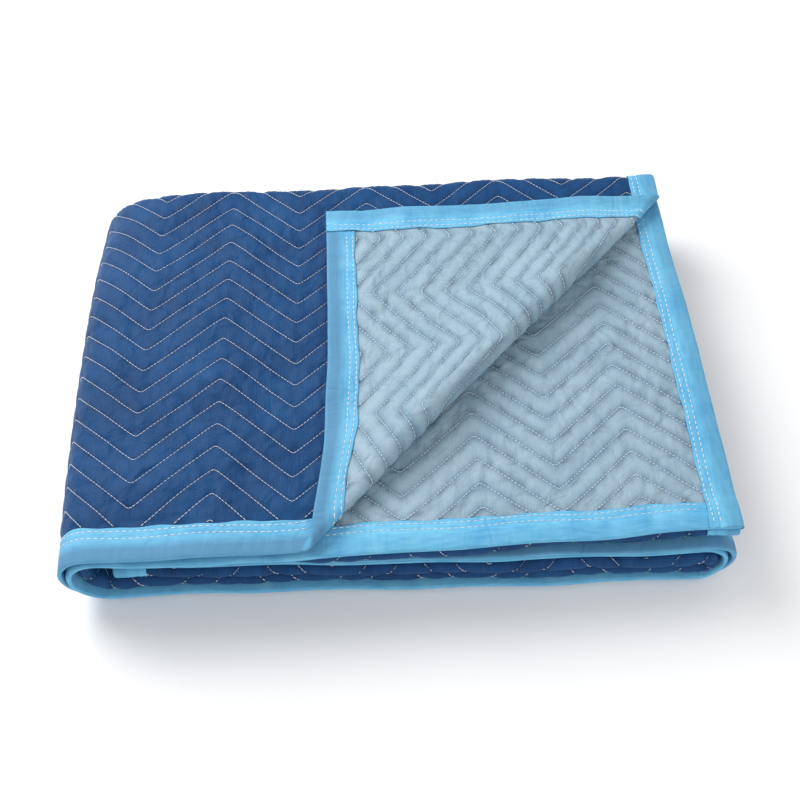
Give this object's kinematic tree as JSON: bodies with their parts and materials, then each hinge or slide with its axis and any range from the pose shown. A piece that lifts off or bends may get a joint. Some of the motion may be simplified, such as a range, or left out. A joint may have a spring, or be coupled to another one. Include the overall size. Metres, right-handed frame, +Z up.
{
  "type": "folded quilted moving blanket",
  "caption": "Quilted moving blanket in navy, bound with light blue tape, folded into a flat pack with one top corner turned back to show its paler back.",
  "frame": {"origin": "middle of the bounding box, on the surface that the pack rests on", "axes": "+X to the right along the long side, +Y to the back, +Z up through the layers"},
  "size_m": [0.668, 0.476, 0.1274],
  "materials": {
    "woven_polyester_navy": "woven, quilted",
    "nonwoven_binding_blue": "nonwoven tape, matte"
  },
  "bodies": {
    "root": {"quilted_pad": "woven_polyester_navy", "binding_top_layer_edge": "nonwoven_binding_blue", "binding_second_layer_edge": "nonwoven_binding_blue", "binding_outer_end": "nonwoven_binding_blue", "binding_inner_end": "nonwoven_binding_blue"}
  },
  "joints": []
}
